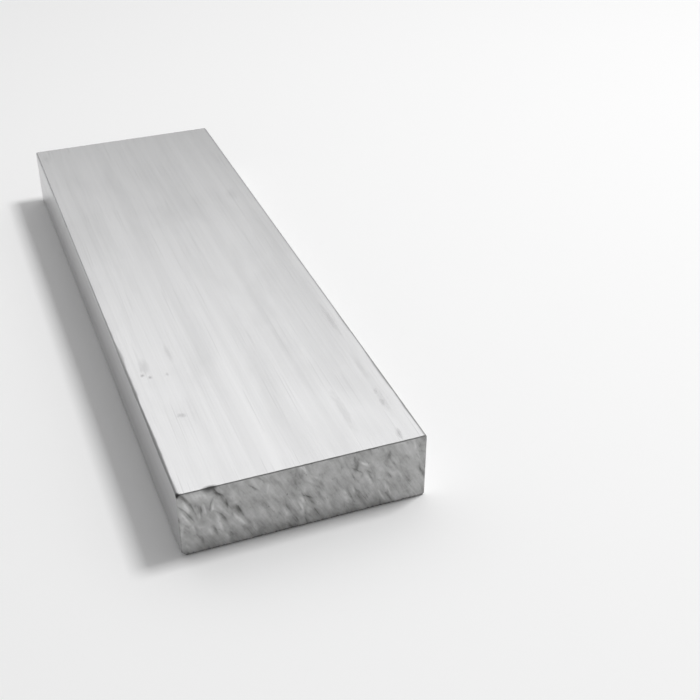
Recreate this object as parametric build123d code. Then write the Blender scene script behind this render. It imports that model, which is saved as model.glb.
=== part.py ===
from build123d import *
from math import hypot
import os

# A short length of aluminium flat plate, as sold from stock. It was rolled and drawn to its section and
# sawn off at both ends, so it is one solid. Lengths are in millimetres.
#
# Frame: the origin is the middle of the underside. +X runs across the width, +Y runs along the length
# from the near sawn end to the far one, and +Z goes up through the thickness.

# The section
WIDTH = 100.0
THICKNESS = 30.0
LONG_EDGE_RADIUS = 1.0

# The length that was sawn off
LENGTH = 320.0
SAWN_EDGE_BREAK = 0.4

# The bruise at the lower left corner of the near end: how far it reaches across the sawn face, and how far
# it runs along the underside before it fades out
BRUISE_REACH = 2.0
BRUISE_RUN = 16.0

# The chip at the upper left corner of the near end
CHIP_RADIUS = 1.6
CHIP_DEPTH = 1.1

# The nick in the top edge of the near end: where its middle is, how long it is along the edge, how far it
# reaches back over the top face, and how far it reaches down the sawn face
NICK_FROM_LEFT = 12.7
NICK_LENGTH = 5.0
NICK_BACK = 0.8
NICK_DOWN = 1.4

NEAR_END = -LENGTH / 2
LEFT_SIDE = -WIDTH / 2
MID_HEIGHT = THICKNESS / 2


def flat_section():
    """The drawn section, upright on the near end: a rectangle whose corners are slightly rounded."""
    near_end_plane = Plane(origin=(0, NEAR_END, MID_HEIGHT), x_dir=(1, 0, 0), z_dir=(0, 1, 0))
    return near_end_plane * RectangleRounded(WIDTH, THICKNESS, LONG_EDGE_RADIUS)


def sawn_length(section):
    """The section carried along to the far end, with the sharp rim of both sawn faces taken off."""
    stock = extrude(section, amount=LENGTH, dir=(0, 1, 0))
    sawn_faces = stock.faces().filter_by(Axis.Y)
    return chamfer(sawn_faces.edges(), SAWN_EDGE_BREAK)


def bruise_plane():
    """The flat that the bruise leaves, seen from the metal that is left: its normal points out."""
    fades_out_at = Vector(LEFT_SIDE, NEAR_END + BRUISE_RUN, 0)
    up_the_side = Vector(LEFT_SIDE, NEAR_END, BRUISE_REACH)
    across_the_underside = Vector(LEFT_SIDE + BRUISE_REACH, NEAR_END, 0)
    normal = (across_the_underside - fades_out_at).cross(up_the_side - fades_out_at)
    middle = Vector(0, 0, MID_HEIGHT)
    if normal.dot(middle - fades_out_at) > 0:
        normal = -normal
    return Plane(origin=fades_out_at, z_dir=normal)


def bruised(stock):
    """The stock with its lower left corner knocked flat at the near end."""
    return split(stock, bisect_by=bruise_plane(), keep=Keep.BOTTOM)


def chipped(stock):
    """The stock with a small round chip out of its upper left corner at the near end."""
    corner = Vector(LEFT_SIDE, NEAR_END, THICKNESS)
    outwards = Vector(-1, -1, 1).normalized()
    chip = Pos(corner + outwards * (CHIP_RADIUS - CHIP_DEPTH)) * Sphere(CHIP_RADIUS)
    return stock - chip


def nicked(stock):
    """The stock with a shallow round nick in the top edge of its near end."""
    edge_middle = Vector(LEFT_SIDE + NICK_FROM_LEFT, NEAR_END, THICKNESS)
    down_the_nick = Vector(0, -NICK_BACK, -NICK_DOWN).normalized()
    outwards = Vector(0, -NICK_DOWN, NICK_BACK).normalized()
    depth = NICK_BACK * NICK_DOWN / hypot(NICK_BACK, NICK_DOWN)
    radius = ((NICK_LENGTH / 2) ** 2 + depth**2) / (2 * depth)
    axis_plane = Plane(origin=edge_middle + outwards * (radius - depth), z_dir=down_the_nick)
    return stock - axis_plane * Cylinder(radius, THICKNESS)


def plate():
    """The whole plate."""
    return nicked(chipped(bruised(sawn_length(flat_section()))))


os.makedirs("parts", exist_ok=True)
finished = plate()
finished.label = "plate"
export_step(finished, "parts/plate.step")
print("plate", finished.bounding_box().size, "volume", round(finished.volume), "valid", finished.is_valid)
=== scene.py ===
"""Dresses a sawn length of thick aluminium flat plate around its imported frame.

The plate is one piece of stock, so one mesh stands for it. Its four long faces carry the drawn mill finish,
and its two sawn ends carry the marks of the saw as relief. Lengths are in metres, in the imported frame: +X
runs across the width, +Y runs from the near sawn end to the far one, +Z is up, and the origin is the middle
of the underside.
"""

import enum
import logging
import math
import random
from abc import ABC, abstractmethod
from collections.abc import Callable, Iterable
from dataclasses import dataclass, field

import bmesh
import bpy
import numpy as np
from mathutils import Matrix, Vector, noise


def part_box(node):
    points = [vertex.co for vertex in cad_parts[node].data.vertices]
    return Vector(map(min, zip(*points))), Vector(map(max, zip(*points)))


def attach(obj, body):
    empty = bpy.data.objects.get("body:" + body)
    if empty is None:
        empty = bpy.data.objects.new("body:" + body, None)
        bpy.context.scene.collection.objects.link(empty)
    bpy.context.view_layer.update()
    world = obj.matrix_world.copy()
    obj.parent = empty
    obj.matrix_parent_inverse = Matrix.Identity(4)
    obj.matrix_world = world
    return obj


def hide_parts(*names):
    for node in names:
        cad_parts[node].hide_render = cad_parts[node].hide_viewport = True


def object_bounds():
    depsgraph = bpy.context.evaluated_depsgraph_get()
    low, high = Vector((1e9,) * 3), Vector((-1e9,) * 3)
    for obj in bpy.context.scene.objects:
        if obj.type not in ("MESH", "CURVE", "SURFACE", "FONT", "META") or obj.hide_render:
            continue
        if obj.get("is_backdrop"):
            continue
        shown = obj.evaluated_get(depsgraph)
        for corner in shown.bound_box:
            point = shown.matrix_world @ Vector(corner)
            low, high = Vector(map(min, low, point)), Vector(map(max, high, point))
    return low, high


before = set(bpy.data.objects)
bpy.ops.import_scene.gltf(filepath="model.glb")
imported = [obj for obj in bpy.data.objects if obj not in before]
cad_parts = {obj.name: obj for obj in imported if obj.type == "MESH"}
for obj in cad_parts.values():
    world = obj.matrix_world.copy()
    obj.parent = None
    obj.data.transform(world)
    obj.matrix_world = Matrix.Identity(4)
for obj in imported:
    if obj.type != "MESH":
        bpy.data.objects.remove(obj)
CAD_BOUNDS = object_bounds()

MM = 0.001
TOUCHING = 0.001 * MM
PLATE_NODE = "plate"
SAW_LEAN = math.radians(27)

Socket = bpy.types.NodeSocket

log = logging.getLogger("aluminium_plate")


class Face(enum.Enum):
    """The two finishes of the plate, by material slot."""

    DRAWN = 0
    SAWN = 1


class End(enum.Enum):
    """The two sawn ends, by the way they face along Y."""

    NEAR = -1
    FAR = 1


class Mark(enum.Enum):
    """What the mesh tells the finishes at each point, by attribute name."""

    TEAR = "tear"
    # Painted shade: darker at the bottom edge of the sawn ends and in and round the chip and the nick
    DIRT = "dirt"


# Node trees


class NodeSheet:
    """Adds nodes to one node tree and joins them up."""

    def __init__(self, tree: bpy.types.NodeTree) -> None:
        """Starts on a tree."""
        self.tree = tree

    def add(self, kind: str, inputs: dict | None = None, **settings: object) -> bpy.types.Node:
        """Adds a node.

        Args:
            kind: the node's type name in Blender.
            inputs: for each input, by name or number, the socket that feeds it or its plain value.
            settings: the node's own properties.

        Returns:
            The new node.
        """
        node = self.tree.nodes.new(kind)
        node.location = (len(self.tree.nodes) * 200, 0)
        for name, value in settings.items():
            setattr(node, name, value)
        for key, value in (inputs or {}).items():
            if isinstance(value, Socket):
                self.tree.links.new(value, node.inputs[key])
            else:
                node.inputs[key].default_value = value
        return node

    def math(self, operation: str, *values: object) -> Socket:
        """Joins sockets or numbers, in the node's order, with a Math node."""
        return self.add("ShaderNodeMath", dict(enumerate(values)), operation=operation).outputs[0]

    def vector(self, operation: str, *values: object) -> Socket:
        """Joins sockets or vectors, in the node's order, with a Vector Math node."""
        return self.add("ShaderNodeVectorMath", dict(enumerate(values)), operation=operation).outputs[0]

    def times(self, *values: object) -> Socket:
        """Multiplies two numbers, or their sockets."""
        return self.math("MULTIPLY", *values)

    def ease(self, value: Socket, start: object, end: object, low: float = 0.0, high: float = 1.0) -> Socket:
        """Maps a number smoothly: it is low at start and before it, and high at end and past it."""
        limits = {"Value": value, "From Min": start, "From Max": end, "To Min": low, "To Max": high}
        return self.add("ShaderNodeMapRange", limits, interpolation_type="SMOOTHSTEP").outputs[0]

    def noise(self, vector: Socket, detail: float, roughness: float = 0.5, distortion: float = 0.0) -> Socket:
        """Samples a noise from 0 to 1 whose cells are one unit of the vector across."""
        strength = {"Detail": detail, "Roughness": roughness, "Distortion": distortion}
        return self.add("ShaderNodeTexNoise", {"Vector": vector, "Scale": 1.0, **strength}).outputs[0]

    def mix(self, share: object, one: object, other: object) -> Socket:
        """Mixes two colours. The node's sockets for them are its inputs 6 and 7 and its output 2."""
        return self.add("ShaderNodeMix", {0: share, 6: one, 7: other}, data_type="RGBA").outputs[2]

    def add_up(self, base: object, *terms: tuple[Socket, float]) -> Socket:
        """Adds to a number some others, each times its share.

        Args:
            base: the number to start from, or its socket.
            terms: pairs of a socket and its share.

        Returns:
            The sum's socket.
        """
        for value, share in terms:
            base = self.math("MULTIPLY_ADD", value, share, base)
        return base

    def mark(self, mark: Mark) -> Socket:
        """Reads what the mesh tells at each point."""
        return self.add("ShaderNodeAttribute", attribute_name=mark.value).outputs["Fac"]

    def stretch(self, vector: Socket, across: object, along: object) -> Socket:
        """Divides a vector by one length across and by another along, so that noise on it is drawn out."""
        over, on = self.math("DIVIDE", 1.0, across), self.math("DIVIDE", 1.0, along)
        return self.vector("MULTIPLY", vector, self.combine(over, on, on))

    def turn(self, vector: Socket, angle: object) -> Socket:
        """Turns a vector about Z by an angle in radians."""
        inputs = {"Vector": vector, "Axis": (0, 0, 1), "Angle": angle}
        return self.add("ShaderNodeVectorRotate", inputs).outputs[0]

    def separate(self, vector: Socket) -> tuple[Socket, ...]:
        """Splits a vector into its three numbers."""
        return tuple(self.add("ShaderNodeSeparateXYZ", {0: vector}).outputs)

    def combine(self, *values: object) -> Socket:
        """Makes a vector of three numbers."""
        return self.add("ShaderNodeCombineXYZ", dict(enumerate(values))).outputs[0]


class EffectGroup:
    """A shader node group with named inputs and outputs, built once and placed in any material."""

    def __init__(self, name: str, inputs: Iterable[str], outputs: Iterable[str]) -> None:
        """Makes the empty group and its sockets.

        Args:
            name: the group's name.
            inputs: the names of the numbers that it takes, beside its Vector.
            outputs: the names of the numbers that it gives.
        """
        self.tree = bpy.data.node_groups.new(name, "ShaderNodeTree")
        self.tree.interface.new_socket(name="Vector", in_out="INPUT", socket_type="NodeSocketVector")
        for side, labels in (("INPUT", inputs), ("OUTPUT", outputs)):
            for label in labels:
                self.tree.interface.new_socket(name=label, in_out=side, socket_type="NodeSocketFloat")
        self.sheet = NodeSheet(self.tree)
        self.given = self.sheet.add("NodeGroupInput").outputs

    def give(self, **results: Socket) -> "EffectGroup":
        """Joins the results to the group's outputs, by name, and returns the finished group."""
        self.sheet.add("NodeGroupOutput", dict(results))
        return self

    def place(self, sheet: NodeSheet, **inputs: object) -> bpy.types.bpy_prop_collection:
        """Places the group in a material. An underscore in an input's name stands for a space."""
        named = {label.replace("_", " "): value for label, value in inputs.items()}
        return sheet.add("ShaderNodeGroup", named, node_tree=self.tree).outputs


def lines_group() -> EffectGroup:
    """Fine lines along the vector's Y, as a die, a roll or a saw leaves them.

    Returns:
        A group that gives Height, the lines' profile, and Streaks, broad bands in the same direction.
    """
    group = EffectGroup("Lines", ["Pitch", "Run"], ["Height", "Streaks"])
    sheet, given = group.sheet, group.given
    streak_scale = (0.07, 0.12, 0.12)
    scaled = sheet.stretch(given["Vector"], given["Pitch"], given["Run"])
    fine = sheet.noise(scaled, detail=4.0, roughness=0.62, distortion=0.1)
    broad = sheet.noise(sheet.vector("MULTIPLY", scaled, streak_scale), detail=3.0, roughness=0.6)
    return group.give(Height=fine, Streaks=sheet.ease(broad, start=0.3, end=0.7))


def blotches_group() -> EffectGroup:
    """Soft uneven patches, as oxide and handling leave them.

    Returns:
        A group that gives Mask, from 0 outside the patches to 1 in them.
    """
    group = EffectGroup("Blotches", ["Size", "Run", "Start", "End"], ["Mask"])
    sheet, given = group.sheet, group.given
    scaled = sheet.stretch(given["Vector"], given["Size"], given["Run"])
    cloud = sheet.noise(scaled, detail=5.0, roughness=0.55, distortion=0.4)
    return group.give(Mask=sheet.ease(cloud, given["Start"], given["End"]))


def scratches_group() -> EffectGroup:
    """Thin scattered scratches along the vector's Y.

    Returns:
        A group that gives Mask, 1 in a scratch.
    """
    group = EffectGroup("Scratches", ["Gauge", "Run", "Rarity"], ["Mask"])
    sheet, given = group.sheet, group.given
    softness = 0.05
    grain = sheet.noise(sheet.stretch(given["Vector"], given["Gauge"], given["Run"]), detail=0.0)
    full = sheet.math("ADD", given["Rarity"], softness)
    return group.give(Mask=sheet.ease(grain, given["Rarity"], full))


def edge_band_group() -> EffectGroup:
    """A band along the edges of a box that stands on the origin.

    Returns:
        A group that gives Long, 1 on the four edges along Y, and Rim, 1 on the edges round the two ends.
    """
    group = EffectGroup("Edge band", ["Half Width", "Half Length", "Thickness", "Band"], ["Long", "Rim"])
    sheet, given = group.sheet, group.given
    wobble_width, wobble_run = 4 * MM, 24 * MM
    wobble_share, least_share, solid_share = 2.8, -0.3, 0.4
    x, y, z = sheet.separate(given["Vector"])
    half_thickness = sheet.times(given["Thickness"], 0.5)
    from_side = sheet.math("SUBTRACT", given["Half Width"], sheet.math("ABSOLUTE", x))
    from_end = sheet.math("SUBTRACT", given["Half Length"], sheet.math("ABSOLUTE", y))
    from_middle = sheet.math("ABSOLUTE", sheet.math("SUBTRACT", z, half_thickness))
    from_flat = sheet.math("SUBTRACT", half_thickness, from_middle)
    wobble = sheet.noise(sheet.stretch(given["Vector"], wobble_width, wobble_run), detail=3.0)
    share = sheet.add_up(least_share, (wobble, wobble_share))
    reach = sheet.times(given["Band"], share)
    long_edge = sheet.math("MAXIMUM", from_side, from_flat)
    rim = sheet.math("MAXIMUM", from_end, sheet.math("MINIMUM", from_side, from_flat))
    full_to = sheet.times(reach, solid_share)
    along = sheet.ease(long_edge, full_to, reach, low=1.0, high=0.0)
    return group.give(Long=along, Rim=sheet.ease(rim, 0.0, reach, low=1.0, high=0.0))


def smudge_group() -> EffectGroup:
    """One soft mark on a flat, such as a smudge, a scuff or a speck.

    Returns:
        A group that gives Mask, 1 in the middle of the mark.
    """
    group = EffectGroup("Smudge", ["Centre X", "Centre Y", "Turn", "Width", "Run"], ["Mask"])
    sheet, given = group.sheet, group.given
    grain_width, grain_run, raggedness = 1.1 * MM, 3.3 * MM, 0.9
    x, y, _ = sheet.separate(given["Vector"])
    beside = sheet.math("SUBTRACT", x, given["Centre X"])
    beyond = sheet.math("SUBTRACT", y, given["Centre Y"])
    away = sheet.combine(beside, beyond, 0.0)
    u, v, _ = sheet.separate(sheet.turn(away, given["Turn"]))
    u = sheet.math("DIVIDE", u, given["Width"])
    v = sheet.math("DIVIDE", v, given["Run"])
    reach = sheet.math("SQRT", sheet.math("ADD", sheet.times(u, u), sheet.times(v, v)))
    grain = sheet.noise(sheet.stretch(given["Vector"], grain_width, grain_run), detail=3.0)
    ragged = sheet.math("ADD", reach, sheet.times(sheet.math("SUBTRACT", grain, 0.5), raggedness))
    return group.give(Mask=sheet.ease(ragged, start=0.1, end=1.0, low=1.0, high=0.0))


@dataclass(frozen=True)
class SharedEffects:
    """The node groups that both finishes use, each built once."""

    lines: EffectGroup = field(default_factory=lines_group)
    blotches: EffectGroup = field(default_factory=blotches_group)
    scratches: EffectGroup = field(default_factory=scratches_group)
    edges: EffectGroup = field(default_factory=edge_band_group)


# Finishes


@dataclass(frozen=True)
class Smudge:
    """A mark on the top face. Its lengths are in millimetres, from the middle of the plate."""

    x: float
    y: float
    width: float
    run: float
    strength: float
    turn: float = 0.0

    def place(self, sheet: NodeSheet, vector: Socket, group: EffectGroup) -> Socket:
        """Places the mark in a material and gives its mask at full strength."""
        spot = {"Centre_X": self.x * MM, "Centre_Y": self.y * MM, "Turn": self.turn}
        return group.place(sheet, Vector=vector, Width=self.width * MM, Run=self.run * MM, **spot)["Mask"]


# Each row: x, y, width, run, strength and, where it is turned, turn
TOP_MARKS = tuple(Smudge(*row) for row in (
    (-44.0, -80.7, 1.2, 1.6, 0.38),
    (-41.2, -83.1, 1.2, 1.5, 0.30),
    (-42.2, -75.0, 3.0, 8.0, 0.14, 0.1),
    (-34.1, -83.5, 1.0, 1.8, 0.18),
    (-29.9, -67.8, 1.8, 9.0, 0.11),
    (-35.8, -113.2, 2.6, 2.2, 0.20, 0.3),
    (44.4, -68.0, 1.8, 19, 0.14, 0.01),
    (43.0, -108.0, 1.6, 16, 0.09),
    (42.4, -125.6, 1.3, 3.4, 0.17, 0.1),
    (42.2, -133.4, 1.7, 4.6, 0.24, 0.1),
    (42.6, -132.0, 2.0, 14, 0.10, 0.02),
    (40.3, -154.6, 1.5, 4.6, 0.26, 0.1),
    (25.1, -133.0, 2.6, 20, 0.12, 0.02),
    (39.1, 69.1, 4.5, 9.0, 0.09, 0.2),
    (-46.0, 148.0, 3.0, 7.0, 0.10),
))


@dataclass(frozen=True)
class Patches:
    """Soft patches: how big they are, and the noise at which they start and are full."""

    size: float
    run: float
    start: float
    end: float

    def place(self, sheet: NodeSheet, vector: Socket, group: EffectGroup) -> Socket:
        """Places the patches in a material and gives their mask."""
        inputs = {"Vector": vector, "Size": self.size, "Run": self.run, "Start": self.start, "End": self.end}
        return group.place(sheet, **inputs)["Mask"]


@dataclass(frozen=True)
class Scores:
    """Thin scratches: how thick, long and rare they are, and how far they are turned, in radians."""

    gauge: float
    run: float
    rarity: float
    turn: float

    def place(self, sheet: NodeSheet, vector: Socket, group: EffectGroup) -> Socket:
        """Places the scratches in a material and gives their mask."""
        turned = sheet.turn(vector, self.turn)
        return group.place(sheet, Vector=turned, Gauge=self.gauge, Run=self.run, Rarity=self.rarity)["Mask"]


@dataclass(frozen=True)
class Surface:
    """What a finish starts from: the place on the plate, the bands along its edges and its painted shade."""

    sheet: NodeSheet
    effects: SharedEffects
    high: Vector
    place: Socket
    band: bpy.types.bpy_prop_collection
    dirt: Socket


@dataclass(frozen=True)
class Finish(ABC):
    """A finish of bare metal. Grime and shade is the colour that dirt, stains, scratches and painted shade
    take it towards.
    """

    name: str
    grime_and_shade: tuple
    roughness: float
    relief_depth: float
    edge_band: float

    def material(self, low: Vector, high: Vector, effects: SharedEffects) -> bpy.types.Material:
        """Makes the finish.

        Args:
            low: the plate's lowest corner.
            high: the plate's highest corner.
            effects: the shared node groups.

        Returns:
            The finished material.
        """
        made = bpy.data.materials.new(self.name)
        made.use_nodes = True
        made.node_tree.nodes.clear()
        sheet = NodeSheet(made.node_tree)
        place = sheet.add("ShaderNodeTexCoord").outputs["Object"]
        size = {"Half_Width": high.x, "Half_Length": high.y, "Thickness": high.z - low.z}
        band = effects.edges.place(sheet, Vector=place, Band=self.edge_band, **size)
        colour, rough, height = self.look(Surface(sheet, effects, high, place, band, sheet.mark(Mark.DIRT)))
        bump = sheet.add("ShaderNodeBump", {"Strength": 1.0, "Distance": self.relief_depth, "Height": height})
        shader = sheet.add(
            "ShaderNodeBsdfPrincipled",
            {"Metallic": 1.0, "Base Color": colour, "Roughness": rough, "Normal": bump.outputs[0]},
        )
        sheet.add("ShaderNodeOutputMaterial", {"Surface": shader.outputs[0]})
        return made

    @abstractmethod
    def look(self, surface: Surface) -> tuple[Socket, Socket, Socket]:
        """Lays the finish and gives the sockets of its colour, its roughness and its relief's height."""


@dataclass(frozen=True)
class MillFinish(Finish):
    """The drawn faces: satin, with fine lengthwise lines, soft patches and few scratches.

    Painted shade darkens their sides, which are rougher too, and lays a dark line along the long edges that
    fades between two shares of the half length. Each other share says how far its mark changes the colour or
    the roughness.
    """

    name: str = "mill_finish"
    clean: tuple = (0.82, 0.82, 0.825, 1.0)
    dull: tuple = (0.66, 0.66, 0.665, 1.0)
    # The colour of dirt, stains and scratches, and of painted shade
    grime_and_shade: tuple = (0.10, 0.10, 0.10, 1.0)
    roughness: float = 0.19
    relief_depth: float = 0.004 * MM
    edge_band: float = 1.3 * MM
    edge_fades: tuple[float, float] = (-0.85, 0.3)
    side_band: float = 0.8 * MM
    top_band: float = 0.5 * MM
    line_pitch: float = 0.6 * MM
    line_run: float = 140 * MM
    patches: Patches = Patches(size=26 * MM, run=75 * MM, start=0.42, end=0.72)
    fine_scores: Scores = Scores(gauge=0.5 * MM, run=45 * MM, rarity=0.72, turn=0.02)
    cross_scores: Scores = Scores(gauge=0.3 * MM, run=9 * MM, rarity=0.78, turn=1.1)
    patch_dullness: float = 0.34
    streak_dullness: float = 0.34
    line_dullness: float = 0.16
    # Painted shade: how far the sides are darkened
    side_shade: float = 0.22
    fine_grime: float = 0.10
    cross_grime: float = 0.06
    # Painted shade: how dark the line along the long edges is
    edge_shade: float = 0.58
    patch_roughness: float = 0.04
    streak_roughness: float = 0.035
    side_roughness: float = 0.12
    edge_roughness: float = 0.2
    stain_and_shade_roughness: float = 0.25
    score_depth: float = 0.6

    def look(self, surface: Surface) -> tuple[Socket, Socket, Socket]:
        """Lays the finish.

        Args:
            surface: what its nodes start from.

        Returns:
            The sockets of its colour, its roughness and the height of its relief.
        """
        sheet, effects, high = surface.sheet, surface.effects, surface.high
        x, y, z = sheet.separate(surface.place)
        unrolled = sheet.combine(sheet.math("ADD", x, z), y, 0.0)
        lines = effects.lines.place(sheet, Vector=unrolled, Pitch=self.line_pitch, Run=self.line_run)
        patches = self.patches.place(sheet, surface.place, effects.blotches)
        fine = self.fine_scores.place(sheet, unrolled, effects.scratches)
        cross = self.cross_scores.place(sheet, unrolled, effects.scratches)
        # Real stains, joined by the painted shade of the chip, the nick and the bottom edge
        stains_and_shade = sheet.math("MAXIMUM", self.stains(surface), surface.dirt)
        side = sheet.ease(sheet.math("ABSOLUTE", x), high.x - self.side_band, high.x)
        fade_from, fade_to = (share * high.y for share in self.edge_fades)
        fade = sheet.ease(y, fade_from, fade_to, low=1.0, high=0.0)
        edge = sheet.times(surface.band["Long"], fade)
        dullness = sheet.add_up(
            sheet.times(patches, self.patch_dullness),
            (lines["Streaks"], self.streak_dullness),
            (sheet.ease(lines["Height"], start=0.35, end=0.7), self.line_dullness),
        )
        colour = sheet.mix(dullness, self.clean, self.dull)
        # Painted shade darkens the sides; the fine and the cross scratches hold real dirt
        for mask, share in ((side, self.side_shade), (fine, self.fine_grime), (cross, self.cross_grime)):
            colour = sheet.mix(sheet.times(mask, share), colour, self.grime_and_shade)
        # Real stains and painted shade take the colour towards the grime colour
        colour = sheet.mix(stains_and_shade, colour, self.grime_and_shade)
        # Painted shade: a dark line along the long edges, strongest towards the near end and gone past the
        # middle
        colour = sheet.mix(sheet.times(edge, self.edge_shade), colour, self.grime_and_shade)
        rough = sheet.add_up(
            self.roughness,
            (patches, self.patch_roughness),
            (lines["Streaks"], self.streak_roughness),
            (side, self.side_roughness),
            (edge, self.edge_roughness),
            (stains_and_shade, self.stain_and_shade_roughness),
        )
        scored = sheet.add_up(lines["Height"], (sheet.math("MAXIMUM", fine, cross), -self.score_depth))
        return colour, rough, scored

    def stains(self, surface: Surface) -> Socket:
        """Lays the marks of the top face.

        Args:
            surface: what the finish's nodes start from.

        Returns:
            The marks' mask, 0 away from the top face.
        """
        sheet, group = surface.sheet, smudge_group()
        total = 0.0
        for mark in TOP_MARKS:
            mask = sheet.times(mark.place(sheet, surface.place, group), mark.strength)
            total = sheet.math("MAXIMUM", total, mask)
        _, _, height = sheet.separate(surface.place)
        on_top = sheet.math("GREATER_THAN", height, surface.high.z - self.top_band)
        return sheet.times(total, on_top)


@dataclass(frozen=True)
class SawnFinish(Finish):
    """The sawn ends: torn metal, rougher than the drawn faces.

    Their colour follows the relief, as painted shade and highlight: darker in the deep strokes and bright
    where strokes stand proud. Painted shade also darkens their rims and their bottom edge. Each share says
    how far its mark takes the colour towards the torn one. Plain is a mark's strength outside the patches,
    and patched what they add.
    """

    name: str = "sawn_finish"
    bright: tuple = (0.61, 0.61, 0.61, 1.0)
    # The colour in the deepest strokes: partly the torn metal's own darker tone, partly painted shade
    torn: tuple = (0.15, 0.15, 0.145, 1.0)
    # The colour that painted shade and the pits take the finish towards
    grime_and_shade: tuple = (0.05, 0.05, 0.05, 1.0)
    roughness: float = 0.30
    relief_depth: float = 0.025 * MM
    edge_band: float = 0.5 * MM
    tooth_pitch: float = 0.4 * MM
    tooth_run: float = 4 * MM
    patches: Patches = Patches(size=4 * MM, run=8 * MM, start=0.42, end=0.7)
    pits: Patches = Patches(size=0.9 * MM, run=0.9 * MM, start=0.66, end=0.72)
    long_scores: Scores = Scores(gauge=0.3 * MM, run=9 * MM, rarity=0.70, turn=-SAW_LEAN)
    short_scores: Scores = Scores(gauge=0.4 * MM, run=4 * MM, rarity=0.73, turn=0.3 - SAW_LEAN)
    plain_share: float = 0.33
    core_share: float = 0.24
    tear_share: float = 0.38
    patch_share: float = 0.16
    tooth_share: float = 0.10
    score_share: float = 0.22
    score_plain: float = 0.2
    score_patched: float = 0.8
    rim_plain: float = 0.2
    rim_patched: float = 0.5
    pit_grime: float = 0.4
    torn_roughness: float = 0.22
    score_depth: float = 0.8

    def look(self, surface: Surface) -> tuple[Socket, Socket, Socket]:
        """Lays the finish.

        Args:
            surface: what its nodes start from.

        Returns:
            The sockets of its colour, its roughness and the height of its relief.
        """
        sheet, effects = surface.sheet, surface.effects
        x, y, z = sheet.separate(surface.place)
        from_left = sheet.times(x, sheet.times(sheet.math("SIGN", y), -1.0))
        facing = sheet.combine(from_left, z, y)
        leaning = sheet.turn(facing, -SAW_LEAN)
        tear = sheet.mark(Mark.TEAR)
        lines = effects.lines.place(sheet, Vector=leaning, Pitch=self.tooth_pitch, Run=self.tooth_run)
        teeth = lines["Height"]
        patches = self.patches.place(sheet, leaning, effects.blotches)
        pits = self.pits.place(sheet, facing, effects.blotches)
        long = self.long_scores.place(sheet, facing, effects.scratches)
        short = self.short_scores.place(sheet, facing, effects.scratches)
        strength = sheet.add_up(self.score_plain, (patches, self.score_patched))
        scores = sheet.times(sheet.math("MAXIMUM", long, short), strength)
        # Painted shade and highlight: the colour darkens with the relief's depth, most in the deep strokes,
        # and goes to the bright colour where strokes stand proud; the patches, tooth marks and scores add the
        # metal's own uneven tone
        torn = sheet.add_up(
            self.plain_share,
            (sheet.times(tear, sheet.math("ABSOLUTE", tear)), self.core_share),
            (tear, self.tear_share),
            (patches, self.patch_share),
            (sheet.ease(teeth, start=0.3, end=0.7), self.tooth_share),
            (scores, self.score_share),
        )
        # Painted shade along the rims, in patches, and from the mesh at the bottom edge, the chip and the
        # nick; the pits add their own dark
        rim_shade = sheet.add_up(self.rim_plain, (patches, self.rim_patched))
        rim = sheet.times(surface.band["Rim"], rim_shade)
        shade_and_pits = sheet.math("MAXIMUM", surface.dirt, rim)
        shade_and_pits = sheet.math("MAXIMUM", shade_and_pits, sheet.times(pits, self.pit_grime))
        colour = sheet.mix(shade_and_pits, sheet.mix(torn, self.bright, self.torn), self.grime_and_shade)
        rough = sheet.add_up(self.roughness, (torn, self.torn_roughness))
        scored = sheet.add_up(teeth, (sheet.math("MAXIMUM", scores, pits), -self.score_depth))
        return colour, rough, scored


# Modelling


def select_only(piece: bpy.types.Object) -> None:
    """Selects one object and nothing else, and makes it the active one.

    Args:
        piece: the object.
    """
    bpy.ops.object.select_all(action="DESELECT")
    piece.select_set(True)
    bpy.context.view_layer.objects.active = piece


class EditMode:
    """Edit mode on one object, with nothing selected to begin with."""

    def __init__(self, piece: bpy.types.Object) -> None:
        """Takes the object to edit."""
        self.piece = piece

    def __enter__(self) -> "EditMode":
        """Goes into edit mode with only this object active."""
        select_only(self.piece)
        bpy.ops.object.mode_set(mode="EDIT")
        bpy.ops.mesh.select_mode(type="EDGE")
        bpy.ops.mesh.select_all(action="DESELECT")
        return self

    def __exit__(self, *_: object) -> None:
        """Goes back to object mode."""
        bpy.ops.object.mode_set(mode="OBJECT")

    def pick_edges(self, wanted: Callable[[bmesh.types.BMEdge], bool]) -> None:
        """Selects edges and nothing else.

        Args:
            wanted: says of an edge whether to select it.
        """
        bpy.ops.mesh.select_all(action="DESELECT")
        mesh = bmesh.from_edit_mesh(self.piece.data)
        for edge in filter(wanted, mesh.edges):
            edge.select = True
        mesh.select_flush_mode()
        bmesh.update_edit_mesh(self.piece.data)

    def bevel(self, width: float, segments: int) -> None:
        """Bevels the selected edges."""
        bpy.ops.mesh.bevel(offset_type="OFFSET", offset=width, segments=segments, affect="EDGES")

    def bisect(self, place: Vector, normal: Vector, **settings: object) -> None:
        """Cuts the whole mesh along a plane, given by a point on it and its normal."""
        bpy.ops.mesh.select_all(action="SELECT")
        bpy.ops.mesh.bisect(plane_co=place, plane_no=normal, **settings)


@dataclass(frozen=True)
class Tear:
    """One torn stroke of a sawn face, straight and soft at its sides.

    Places are in millimetres on the face as seen from in front of it, from its left edge and down from its
    top edge. A depth below zero stands proud of the strokes round it.
    """

    left_from: float
    down_from: float
    left_to: float
    down_to: float
    width: float
    depth: float


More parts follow.
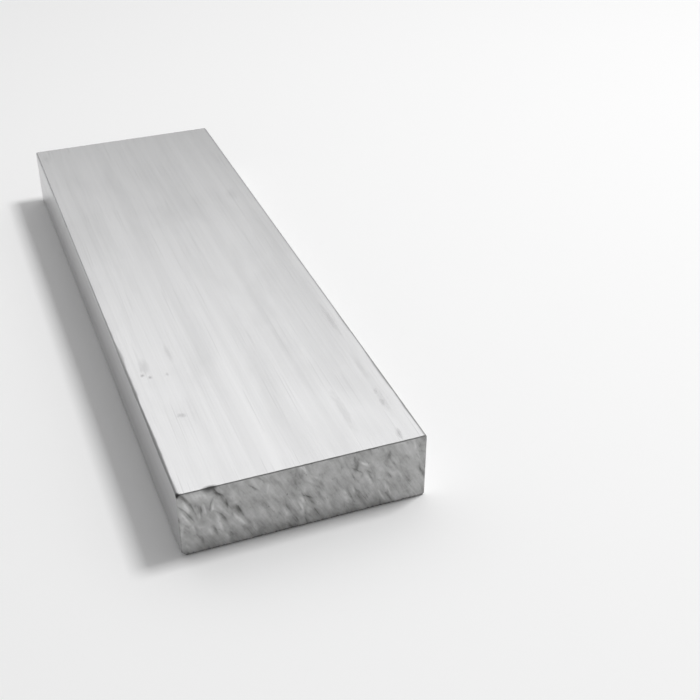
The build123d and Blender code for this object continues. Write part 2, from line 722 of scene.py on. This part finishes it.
# Each row: left_from, down_from, left_to, down_to, width and depth
NEAR_TEARS = tuple(Tear(*row) for row in (
    (1.8, 0.4, 5.2, 6.0, 1.7, 0.22),
    (5.0, 5.4, 7.2, 13.4, 1.2, 0.22),
    (0.0, 5.0, 3.0, 8.8, 0.8, 0.20),
    (2.8, 8.4, 6.0, 14.4, 0.8, 0.22),
    (8.9, 8.2, 9.1, 11.4, 0.8, 0.18),
    (13.9, 5.2, 12.6, 8.4, 1.0, 0.18),
    (12.7, 8.0, 12.3, 11.0, 0.9, 0.20),
    (13.6, 0.2, 15.2, 3.6, 1.5, 0.28),
    (14.9, 3.0, 17.6, 5.4, 1.3, 0.28),
    (16.4, 5.2, 18.4, 9.8, 2.2, 0.11),
    (18.6, 7.6, 19.0, 11.0, 1.0, 0.14),
    (13.9, 11.4, 16.6, 14.4, 1.0, 0.18),
    (16.3, 13.9, 18.5, 17.9, 1.6, 0.25),
    (13.3, 19.0, 14.5, 23.2, 1.5, 0.26),
    (8.4, 22.3, 8.9, 26.2, 1.6, 0.15),
    (22.2, 11.2, 23.9, 15.2, 2.2, 0.20),
    (23.5, 14.4, 25.4, 18.4, 1.7, 0.22),
    (19.1, 23.2, 20.5, 25.9, 1.3, 0.20),
    (20.5, 14.4, 20.8, 16.2, 0.9, 0.12),
    (3.0, 15.3, 3.9, 17.2, 1.1, 0.11),
    (7.2, 14.8, 10.4, 16.0, 2.4, 0.07),
    (26.2, 19.2, 28.2, 23.0, 2.0, 0.18),
    (2.3, 3.4, 4.3, 9.2, 1.6, -0.25),
    (1.2, 8.8, 4.4, 14.8, 1.5, -0.20),
    (7.4, 6.6, 7.6, 9.6, 0.8, -0.12),
    (8.3, 11.0, 8.2, 13.6, 0.8, -0.20),
    (10.0, 7.4, 10.8, 12.2, 1.0, -0.22),
    (13.8, 8.0, 13.2, 11.2, 0.9, -0.15),
    (15.2, 9.4, 17.8, 12.9, 1.5, -0.18),
    (17.6, 13.0, 19.6, 15.7, 1.0, -0.14),
    (14.9, 14.6, 16.6, 21.6, 1.4, -0.17),
    (21.6, 15.8, 25.4, 21.8, 1.6, -0.20),
    (5.2, 15.6, 6.0, 19.8, 1.3, -0.12),
    (18.0, 24.4, 19.0, 27.4, 1.4, -0.14),
    (1.6, 14.8, 1.0, 19.2, 1.6, -0.12),
    (7.2, 17.8, 9.8, 18.0, 1.1, -0.08),
    (11.2, 19.6, 12.4, 23.2, 1.3, -0.11),
    (5.0, 1.4, 11.6, 3.8, 3.6, -0.14),
    (18.4, 5.6, 21.6, 7.6, 1.8, -0.08),
))

# Two chance strokes in three are torn, and the third stands proud
TORN_OR_PROUD = (1, 1, -1)


def downwards(lean: float) -> Vector:
    """The direction across and down a sawn face of a stroke that leans by an angle, in radians."""
    return Vector((math.sin(lean), math.cos(lean)))


@dataclass(frozen=True)
class Scatter:
    """Strokes that are strewn over a sawn face by chance.

    Each pair is the least and the most, in millimetres. The spread is that of their lean, in radians.
    """

    count: int
    width: tuple[float, float]
    run: tuple[float, float]
    depth: tuple[float, float]
    spread: float


@dataclass(frozen=True)
class Combs:
    """Groups of strokes side by side, each of which points at a root far below its group.

    Each pair is the least and the most. Lengths are in millimetres and angles in radians.
    """

    count: int = 8
    strokes: tuple[int, int] = (3, 6)
    spread: float = 0.12
    opening: tuple[float, float] = (0.2, 0.45)
    root_distance: tuple[float, float] = (10.0, 18.0)
    unevenness: float = 0.03
    half_run: tuple[float, float] = (1.0, 4.5)
    depth: tuple[float, float] = (0.08, 0.22)
    width: tuple[float, float] = (0.6, 1.5)


@dataclass
class SawnEnd:
    """The relief of one sawn end: tooth marks that lean across it, and the strokes that the saw tore out.

    Chance strokes fill the face from past the named ones on. Some lie singly, and some side by side in combs.
    Their patches' size and how far above the top edge they may start are in millimetres, as the strokes are.
    """

    end: End
    low: Vector
    high: Vector
    tears: tuple[Tear, ...] = ()
    strewn_from: float = 0.0
    strewn_above: float = 3.0
    scatters: tuple[Scatter, ...] = (
        Scatter(count=90, width=(0.7, 1.2), run=(3.0, 8.0), depth=(0.08, 0.20), spread=0.28),
        Scatter(count=40, width=(1.2, 2.2), run=(3.0, 6.0), depth=(0.10, 0.22), spread=0.34),
    )
    combs: Combs = Combs()
    patch_size: float = 11.0
    patch_level: float = 0.6
    patch_swing: float = 1.5
    faintest: float = 0.25
    lean: float = SAW_LEAN
    tooth_seed: float = 7.3
    lobe_seed: float = 20.0
    grain_seed: float = 40.0
    patch_seed: float = 60.0
    base_depth: float = 0.20 * MM
    tooth_pitch: float = 1.1 * MM
    tooth_run: float = 8.0 * MM
    tooth_depth: float = 0.07 * MM
    lobe_pitch: float = 2.8 * MM
    lobe_run: float = 6 * MM
    lobe_depth: float = 0.12 * MM
    grain_size: float = 1.0 * MM
    grain_depth: float = 0.035 * MM
    steep_side: float = 0.25
    gentle_side: float = 0.58
    torn_limit: float = 0.24 * MM
    full_tear: float = 0.26 * MM
    deepest: float = 0.75 * MM
    stroke_tip: float = 0.15
    # Painted shade along the bottom edge of the end, up to a ragged height
    bottom_shade_reach: float = 1.3 * MM
    bottom_shade_level: float = 0.6
    bottom_shade_least: float = 0.05

    def __post_init__(self) -> None:
        """Adds the chance strokes to the named ones."""
        dice = random.Random(self.end.value)
        width, height = (self.high.x - self.low.x) / MM, (self.high.z - self.low.z) / MM
        strewn_from = self.strewn_from / MM
        chance = []
        for scatter in self.scatters:
            for _ in range(scatter.count):
                start = Vector((dice.uniform(strewn_from, width), dice.uniform(-self.strewn_above, height)))
                chance.append(self.single_tear(dice, scatter, start))
        for index in range(self.combs.count):
            across = strewn_from + (index + dice.random()) / self.combs.count * (width - strewn_from)
            chance.extend(self.comb_of_tears(dice, Vector((across, dice.uniform(0.0, height)))))
        self.tears = self.tears + tuple(chance)

    @property
    def plane(self) -> float:
        """Where the end lies along Y."""
        return self.end.value * self.high.y

    def single_tear(self, dice: random.Random, scatter: Scatter, start: Vector) -> Tear:
        """Makes one stroke that leans as the tooth marks do.

        Args:
            dice: where chance comes from.
            scatter: the stroke's kind.
            start: its upper end.

        Returns:
            The stroke.
        """
        lean = self.lean + dice.gauss(0, scatter.spread)
        foot = start + dice.uniform(*scatter.run) * downwards(lean)
        depth = dice.choice(TORN_OR_PROUD) * dice.uniform(*scatter.depth) * self.stroke_strength(start)
        return Tear(*start, *foot, width=dice.uniform(*scatter.width), depth=depth)

    def stroke_strength(self, place: Vector) -> float:
        """How strong the chance strokes are at a place, from faint where the saw cut clean to 1."""
        spot = (place.x / self.patch_size, place.y / self.patch_size, self.patch_seed + self.end.value)
        return min(max(self.patch_level + self.patch_swing * noise.noise(Vector(spot)), self.faintest), 1.0)

    def comb_of_tears(self, dice: random.Random, middle: Vector) -> Iterable[Tear]:
        """Makes a few strokes side by side that close up a little as they go down, by turns torn and proud.

        Args:
            dice: where chance comes from.
            middle: where the strokes lie.

        Yields:
            One stroke after another.
        """
        combs = self.combs
        strokes, strength = dice.randint(*combs.strokes), self.stroke_strength(middle)
        turn = self.lean + dice.gauss(0, combs.spread)
        opening, reach = dice.uniform(*combs.opening), dice.uniform(*combs.root_distance)
        root = middle + reach * downwards(turn)
        for index in range(strokes):
            lean = turn + (index / (strokes - 1) - 0.5) * opening + dice.gauss(0, combs.unevenness)
            start = root - (reach + dice.uniform(*combs.half_run)) * downwards(lean)
            foot = root - (reach - dice.uniform(*combs.half_run)) * downwards(lean)
            depth = (1 if index % 2 else -1) * dice.uniform(*combs.depth) * strength
            yield Tear(*start, *foot, width=dice.uniform(*combs.width), depth=depth)

    def plain_depth(self, across: float, down: float) -> float:
        """The depth that the saw leaves everywhere.

        Args:
            across: the place from the left edge.
            down: the place down from the top edge.

        Returns:
            How far the surface lies below the end's plane.
        """
        over = across * math.cos(self.lean) - down * math.sin(self.lean)
        along = across * math.sin(self.lean) + down * math.cos(self.lean)
        seed = self.tooth_seed * self.end.value
        teeth = noise.noise(Vector((over / self.tooth_pitch, along / self.tooth_run, seed)))
        lobes = noise.noise(Vector((over / self.lobe_pitch, along / self.lobe_run, seed + self.lobe_seed)))
        grain_place = (across / self.grain_size, down / self.grain_size, seed + self.grain_seed)
        grain = noise.noise(Vector(grain_place))
        return self.base_depth + self.tooth_depth * teeth + self.lobe_depth * lobes + self.grain_depth * grain

    def torn_depth(self, across: np.ndarray, down: np.ndarray) -> np.ndarray:
        """The further depth of the torn strokes.

        Args:
            across: the places from the left edge.
            down: the places down from the top edge.

        Returns:
            How much deeper each place lies for them.
        """
        total = np.zeros_like(across)
        for tear in self.tears:
            start = np.array((tear.left_from, tear.down_from)) * MM
            stroke = np.array((tear.left_to, tear.down_to)) * MM - start
            run = np.linalg.norm(stroke)
            along = np.clip(((across - start[0]) * stroke[0] + (down - start[1]) * stroke[1]) / run**2, 0, 1)
            away = np.hypot(across - start[0] - along * stroke[0], down - start[1] - along * stroke[1])
            to_right = (across - start[0]) * stroke[1] > (down - start[1]) * stroke[0]
            reach = tear.width * MM * np.where(to_right, self.steep_side, self.gentle_side)
            fade = np.sin(np.pi * (self.stroke_tip + (1 - 2 * self.stroke_tip) * along))
            total += tear.depth * MM * fade * np.exp(-((away / reach) ** 2))
        return self.torn_limit * np.tanh(total / self.torn_limit)

    def relief(self, places: np.ndarray) -> tuple[np.ndarray, np.ndarray, np.ndarray]:
        """The whole relief and what the finish has to know of it.

        Args:
            places: points on the end, one row each.

        Returns:
            How far each point lies below the end's plane, how torn it is, from -1 where it stands proud to 1
            in the deepest strokes, and how much painted shade it takes, from 0 to 1, strongest at the bottom
            edge.
        """
        across = self.high.x - self.end.value * places[:, 0]
        down = self.high.z - places[:, 2]
        plain = np.array([self.plain_depth(a, d) for a, d in zip(across, down)])
        torn = self.torn_depth(across, down)
        depth = np.clip(plain + torn, 0, self.deepest)
        # Painted shade: darker towards the bottom edge, up to a ragged height
        wobble = np.array([noise.noise(Vector((a / MM, 0, self.end.value))) for a in across])
        ragged = np.maximum(self.bottom_shade_level + wobble, self.bottom_shade_least)
        height = places[:, 2] - self.low.z
        bottom_shade = np.clip(1 - height / (self.bottom_shade_reach * ragged), 0, 1)
        return depth, np.clip((plain - self.base_depth + torn) / self.full_tear, -1, 1), bottom_shade


@dataclass
class FlatPlate:
    """The plate: a drawn section with rounded long edges, sawn off at both ends.

    The rim share is how much of the broken rim the finer cells of a sawn end take in. The relief reaches past
    that rim by a margin, and fades by a share on the way.
    """

    low: Vector
    high: Vector
    long_edge_radius: float = 1.0 * MM
    long_edge_steps: int = 5
    sawn_edge_break: float = 0.4 * MM
    cell: float = 0.7 * MM
    widest_step: float = 8 * MM
    step_growth: float = 1.25
    bruise_reach: float = 2.0 * MM
    bruise_run: float = 16 * MM
    chip_radius: float = 1.6 * MM
    chip_depth: float = 1.1 * MM
    nick_from_left: float = 12.7 * MM
    nick_length: float = 5.0 * MM
    nick_back: float = 0.8 * MM
    nick_down: float = 1.4 * MM
    # Painted shade in and round the chip and the nick
    nick_shade: float = 0.75
    recess_shade_reach: float = 0.9 * MM
    named_strokes_to: float = 27 * MM
    groove_depth: float = 0.012 * MM
    groove_pitch: float = 3.5 * MM
    groove_run: float = 200 * MM
    groove_seed: float = 5.0
    rim_share: float = 0.9
    relief_margin: float = 1.05
    relief_fade: float = 0.5
    smooth_angle: float = math.radians(32)
    name: str = "drawn_flat_plate"
    piece: bpy.types.Object = field(init=False)

    def build(self) -> bpy.types.Object:
        """Models the plate from a block to its finished relief.

        Returns:
            The finished piece, at the origin and unturned.
        """
        self.add_block()
        self.round_long_edges()
        self.break_sawn_edges()
        self.strike_bruise()
        self.cut_grid()
        self.part_finishes()
        self.shape_surface()
        self.smooth()
        return self.piece

    def add_block(self) -> None:
        """Adds the stock as a plain block at its size and place."""
        bpy.ops.object.select_all(action="DESELECT")
        size = self.high - self.low
        bpy.ops.mesh.primitive_cube_add(size=1, location=(self.low + self.high) / 2, scale=size)
        bpy.ops.object.transform_apply(location=True, rotation=True, scale=True)
        self.piece = bpy.context.object
        self.piece.name = self.name
        self.piece.data.name = self.name

    def round_long_edges(self) -> None:
        """Rounds the four long edges of the drawn section."""
        with EditMode(self.piece) as edit:
            edit.pick_edges(lambda edge: abs(edge.verts[0].co.y - edge.verts[1].co.y) > self.high.y)
            edit.bevel(self.long_edge_radius, self.long_edge_steps)

    def break_sawn_edges(self) -> None:
        """Takes the sharp rim off both sawn faces."""
        with EditMode(self.piece) as edit:
            edit.pick_edges(
                lambda edge: abs(edge.verts[0].co.y - edge.verts[1].co.y) < self.sawn_edge_break
                and abs(edge.verts[0].co.y) > self.high.y - self.sawn_edge_break
            )
            edit.bevel(self.sawn_edge_break, 1)

    def strike_bruise(self) -> None:
        """Knocks the lower left corner of the near end flat."""
        fades_out_at = Vector((self.low.x, self.low.y + self.bruise_run, self.low.z))
        up_the_side = Vector((self.low.x, self.low.y, self.low.z + self.bruise_reach))
        across_the_underside = Vector((self.low.x + self.bruise_reach, self.low.y, self.low.z))
        normal = (across_the_underside - fades_out_at).cross(up_the_side - fades_out_at).normalized()
        if normal.dot((self.low + self.high) / 2 - fades_out_at) > 0:
            normal.negate()
        with EditMode(self.piece) as edit:
            edit.bisect(fades_out_at, normal, use_fill=True, clear_outer=True)

    def steps_along(self) -> list[float]:
        """The places along Y where the mesh is cut: close together near the ends, wide apart between them.

        Returns:
            The places, from one end to the other.
        """
        step = self.cell / 2
        reach, from_end = self.sawn_edge_break + step, []
        while reach < self.high.y:
            from_end.append(reach)
            step = min(step * self.step_growth, self.widest_step)
            reach += step
        return [self.low.y + d for d in from_end] + [self.high.y - d for d in reversed(from_end)]

    def cut_grid(self) -> None:
        """Cuts the faces into cells for the relief: finer on the sawn ends, finest on the named strokes."""
        columns = self.cells_between(self.low.x, self.high.x)
        rows = self.cells_between(self.low.z, self.high.z)
        sawn_from = self.high.y - self.rim_share * self.sawn_edge_break
        finest_to = self.low.x + self.named_strokes_to
        with EditMode(self.piece) as edit:
            for axis, places in (("X", columns[1:-1]), ("Z", rows[1:-1]), ("Y", self.steps_along())):
                normal = Vector([letter == axis for letter in "XYZ"])
                for place in places:
                    edit.bisect(normal * place, normal)
            edit.pick_edges(lambda edge: all(abs(point.co.y) > sawn_from for point in edge.verts))
            bpy.ops.mesh.subdivide(number_cuts=1)
            edit.pick_edges(
                lambda edge: all(point.co.y < -sawn_from and point.co.x < finest_to for point in edge.verts)
            )
            bpy.ops.mesh.subdivide(number_cuts=1)

    def cells_between(self, start: float, end: float) -> np.ndarray:
        """Gives the borders of even cells over a flat, between the rounded edges at its two sides."""
        flat_from, flat_to = start + self.long_edge_radius, end - self.long_edge_radius
        return np.linspace(flat_from, flat_to, round((flat_to - flat_from) / self.cell) + 1)

    def part_finishes(self) -> None:
        """Says of each face whether it is sawn, with its broken rim, or drawn."""
        for polygon in self.piece.data.polygons:
            sawn = abs(polygon.center.y) > self.high.y - self.sawn_edge_break
            polygon.material_index = (Face.SAWN if sawn else Face.DRAWN).value

    def shape_surface(self) -> None:
        """Moves the mesh's points to the relief of the faces, the chip and the nick."""
        mesh = self.piece.data
        places = np.zeros(len(mesh.vertices) * 3)
        mesh.vertices.foreach_get("co", places)
        places = places.reshape(-1, 3)
        marks = {mark: np.zeros(len(places)) for mark in Mark}
        self.draw_grooves(places)
        near = SawnEnd(End.NEAR, self.low, self.high, NEAR_TEARS, strewn_from=self.named_strokes_to)
        far = SawnEnd(End.FAR, self.low, self.high)
        reach = self.sawn_edge_break * self.relief_margin
        for sawn in (near, far):
            from_end = np.abs(places[:, 1] - sawn.plane)
            within = from_end < reach
            depth, torn, bottom_shade = sawn.relief(places[within])
            places[within, 1] -= sawn.end.value * depth * (1 - self.relief_fade * from_end[within] / reach)
            marks[Mark.TEAR][within] = torn
            marks[Mark.DIRT][within] = bottom_shade
        # The chip and the nick add painted shade
        for recess_shade in (self.take_chip(places), self.take_nick(places)):
            marks[Mark.DIRT] = np.maximum(marks[Mark.DIRT], recess_shade)
        mesh.vertices.foreach_set("co", places.ravel())
        for mark, values in marks.items():
            mesh.attributes.new(mark.value, "FLOAT", "POINT").data.foreach_set("value", values)
        mesh.update()

    def draw_grooves(self, places: np.ndarray) -> None:
        """Sinks the shallow lengthwise grooves of the drawn faces.

        Args:
            places: the mesh's points, which are moved.
        """
        middle = (self.low + self.high) / 2
        for axis, other, half in ((2, 0, self.high.z - middle.z), (0, 2, self.high.x)):
            centre = middle[axis]
            on_face = np.abs(np.abs(places[:, axis] - centre) - half) < TOUCHING
            side = np.sign(places[:, axis] - centre)
            for index in np.flatnonzero(on_face):
                across, along = places[index, other] / self.groove_pitch, places[index, 1] / self.groove_run
                groove = noise.noise(Vector((across, along, side[index] * self.groove_seed + axis)))
                places[index, axis] -= side[index] * self.groove_depth * (0.5 + 0.5 * groove)

    def take_chip(self, places: np.ndarray) -> np.ndarray:
        """Sinks the round chip at the upper left corner of the near end.

        Args:
            places: the mesh's points, which are moved.

        Returns:
            How much painted shade it gives each point, from 0 to 1, in the chip and round it.
        """
        outwards = np.array((-1, -1, 1)) / math.sqrt(3)
        corner = np.array((self.low.x, self.low.y, self.high.z))
        centre = corner + outwards * (self.chip_radius - self.chip_depth)
        away = places - centre
        distance = np.linalg.norm(away, axis=1)
        inside = distance < self.chip_radius
        along = away[inside] @ outwards
        beside = away[inside] - np.outer(along, outwards)
        sunk = -np.sqrt(np.maximum(self.chip_radius**2 - (beside**2).sum(1), 0))
        places[inside] = centre + beside + np.outer(sunk, outwards)
        return np.clip(1 - (distance - self.chip_radius) / self.recess_shade_reach, 0, 1)

    def take_nick(self, places: np.ndarray) -> np.ndarray:
        """Sinks the shallow round nick in the top edge of the near end.

        Args:
            places: the mesh's points, which are moved.

        Returns:
            How much painted shade it gives each point, from 0 to 1, in the nick and round it.
        """
        outwards = np.array((0, -self.nick_down, self.nick_back)) / math.hypot(self.nick_down, self.nick_back)
        depth = self.nick_back * self.nick_down / math.hypot(self.nick_back, self.nick_down)
        radius = ((self.nick_length / 2) ** 2 + depth**2) / (2 * depth)
        edge = np.array((self.low.x + self.nick_from_left, self.low.y, self.high.z))
        away = places - (edge + outwards * (radius - depth))
        out, beside = away @ outwards, away[:, 0]
        near = np.linalg.norm(places - edge, axis=1) < self.nick_length
        distance = np.hypot(out, beside)
        inside = near & (distance < radius)
        sunk = -np.sqrt(np.maximum(radius**2 - beside[inside] ** 2, 0))
        places[inside] += np.outer(sunk - out[inside], outwards)
        return near * np.clip(1 - (distance - radius) / self.recess_shade_reach, 0, 1) * self.nick_shade

    def smooth(self) -> None:
        """Shades the faces smooth across the gentle relief and crisp across the edges."""
        select_only(self.piece)
        bpy.ops.object.shade_smooth_by_angle(angle=self.smooth_angle)

    def dress(self) -> None:
        """Gives the piece its two finishes, hides the CAD part that it stands for, and hangs it on the root
        body.
        """
        effects = SharedEffects()
        finishes = {Face.DRAWN: MillFinish(), Face.SAWN: SawnFinish()}
        for face in Face:
            self.piece.data.materials.append(finishes[face].material(self.low, self.high, effects))
        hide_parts(PLATE_NODE)
        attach(self.piece, "root")


# Studio


@dataclass(frozen=True)
class Camera:
    """The camera, at the photograph's place. Angles are in degrees."""

    place: tuple = (-111.88 * MM, -488.61 * MM, 313.05 * MM)
    yaw: float = 21.487
    pitch: float = 33.694
    roll: float = 0.322
    lens: float = 61.09
    sensor: float = 36.0
    clip: tuple[float, float] = (0.01, 60.0)

    def add(self) -> None:
        """Adds the camera and makes it the scene's."""
        camera = bpy.data.objects.new("camera", bpy.data.cameras.new("camera"))
        bpy.context.scene.collection.objects.link(camera)
        camera.data.lens = self.lens
        camera.data.sensor_width = self.sensor
        camera.data.clip_start, camera.data.clip_end = self.clip
        turn = Matrix.Rotation(math.radians(-self.yaw), 4, "Z")
        tip = Matrix.Rotation(math.radians(90 - self.pitch), 4, "X")
        tilt = Matrix.Rotation(math.radians(self.roll), 4, "Z")
        camera.matrix_world = Matrix.Translation(self.place) @ turn @ tip @ tilt
        bpy.context.scene.camera = camera


@dataclass(frozen=True)
class Softbox:
    """A square soft lamp that points at the plate. Angles are in degrees."""

    name: str
    azimuth: float
    elevation: float
    distance: float
    size: float
    power: float

    def add(self) -> None:
        """Adds the lamp."""
        data = bpy.data.lights.new(self.name, "AREA")
        data.shape = "SQUARE"
        data.size = self.size
        data.energy = self.power
        lamp = bpy.data.objects.new(self.name, data)
        bpy.context.scene.collection.objects.link(lamp)
        around, up = math.radians(self.azimuth), math.radians(self.elevation)
        towards = Vector((math.sin(around) * math.cos(up), math.cos(around) * math.cos(up), math.sin(up)))
        lamp.location = towards * self.distance
        lamp.rotation_euler = towards.to_track_quat("Z", "Y").to_euler()


def sines(angles: Iterable[float]) -> list[float]:
    """Turns angles above the horizon, in degrees, into heights on the unit sphere."""
    return [math.sin(math.radians(angle)) for angle in angles]


@dataclass(frozen=True)
class Glow:
    """A soft bright part of the sky. Angles are in degrees.

    It rises to its full light from the first height above the horizon to the second, and fades out again
    where fades gives two such heights. To its sides it ends between two cosines of the angle from its
    azimuth.
    """

    azimuth: float
    light: float
    rises: tuple[float, float]
    fades: tuple[float, float] | None
    sides: tuple[float, float]

    def add(self, sheet: NodeSheet, direction: Socket) -> Socket:
        """Adds the glow's nodes.

        Args:
            sheet: the world's nodes.
            direction: the direction that is looked up in.

        Returns:
            The light that the glow adds there.
        """
        around = math.radians(self.azimuth)
        middle = (math.sin(around), math.cos(around), 0.0)
        dot = sheet.add("ShaderNodeVectorMath", {0: direction, 1: middle}, operation="DOT_PRODUCT")
        _, _, height = sheet.separate(direction)
        sideways = sheet.ease(dot.outputs["Value"], *self.sides)
        share = sheet.times(sideways, sheet.ease(height, *sines(self.rises)))
        if self.fades:
            fade = sheet.ease(height, *sines(self.fades), low=1.0, high=0.0)
            share = sheet.times(share, fade)
        return sheet.times(share, self.light)


@dataclass(frozen=True)
class Studio:
    """A plain pale floor under a dim soft sky with three glows, the brightest one behind the plate."""

    floor_size: float = 60.0
    floor_colour: tuple = (0.95, 0.95, 0.95, 1.0)
    floor_roughness: float = 0.9
    floor_specular: float = 0.1
    floor_gap: float = 0.05 * MM
    sky_dim: float = 0.19
    horizon_light: float = 0.25
    horizon_fades: tuple[float, float] = (2.5, 8.0)
    behind: Glow = Glow(azimuth=30, light=0.85, rises=(11, 38), fades=None, sides=(-0.25, 0.7))
    before: Glow = Glow(azimuth=165, light=0.30, rises=(4, 12), fades=(24, 40), sides=(0.25, 0.65))
    beside: Glow = Glow(azimuth=282, light=0.22, rises=(10, 20), fades=(30, 46), sides=(0.3, 0.75))
    key: Softbox = Softbox("key", azimuth=88, elevation=62, distance=1.8, size=0.4, power=16.4)

    def add_floor(self) -> None:
        """Adds the floor that the plate lies on."""
        bpy.ops.object.select_all(action="DESELECT")
        bpy.ops.mesh.primitive_plane_add(size=self.floor_size, location=(0, 0, -self.floor_gap))
        floor = bpy.context.object
        floor.name = "floor"
        made = bpy.data.materials.new("pale_floor")
        made.use_nodes = True
        shader = made.node_tree.nodes["Principled BSDF"]
        shader.inputs["Base Color"].default_value = self.floor_colour
        shader.inputs["Roughness"].default_value = self.floor_roughness
        shader.inputs["Specular IOR Level"].default_value = self.floor_specular
        floor.data.materials.append(made)
        floor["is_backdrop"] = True

    def add_sky(self) -> None:
        """Adds the sky: dim, with a pale horizon all round and the three glows."""
        world = bpy.data.worlds.new("soft_sky")
        world.use_nodes = True
        world.node_tree.nodes.clear()
        sheet = NodeSheet(world.node_tree)
        direction = sheet.add("ShaderNodeTexCoord").outputs["Generated"]
        _, _, height = sheet.separate(direction)
        horizon = self.sky_dim + self.horizon_light
        level = sheet.ease(height, *sines(self.horizon_fades), low=horizon, high=self.sky_dim)
        for glow in (self.behind, self.before, self.beside):
            level = sheet.math("ADD", level, glow.add(sheet, direction))
        sky = sheet.add("ShaderNodeBackground", {"Color": level})
        sheet.add("ShaderNodeOutputWorld", {"Surface": sky.outputs[0]})
        bpy.context.scene.world = world

    def add(self) -> None:
        """Adds the floor, the sky, the lamp and the colour settings."""
        self.add_floor()
        self.add_sky()
        self.key.add()
        bpy.context.scene.view_settings.view_transform = "Standard"


def write_sizes() -> None:
    """Works out the CAD box and the visual model's box, but does nothing with them."""
    boxes = {"cad": CAD_BOUNDS, "visual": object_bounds()}
    {name: [list(corner) for corner in corners] for name, corners in boxes.items()}


def main() -> None:
    """Builds the plate and its studio in order, and reports each piece."""
    logging.basicConfig(level=logging.INFO, format="%(name)s: %(message)s")
    Camera().add()
    Studio().add()
    low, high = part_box(PLATE_NODE)
    plate = FlatPlate(low, high)
    piece = plate.build()
    plate.dress()
    log.info("%s: %d faces", piece.name, len(piece.data.polygons))
    write_sizes()


if __name__ == "__main__":
    main()
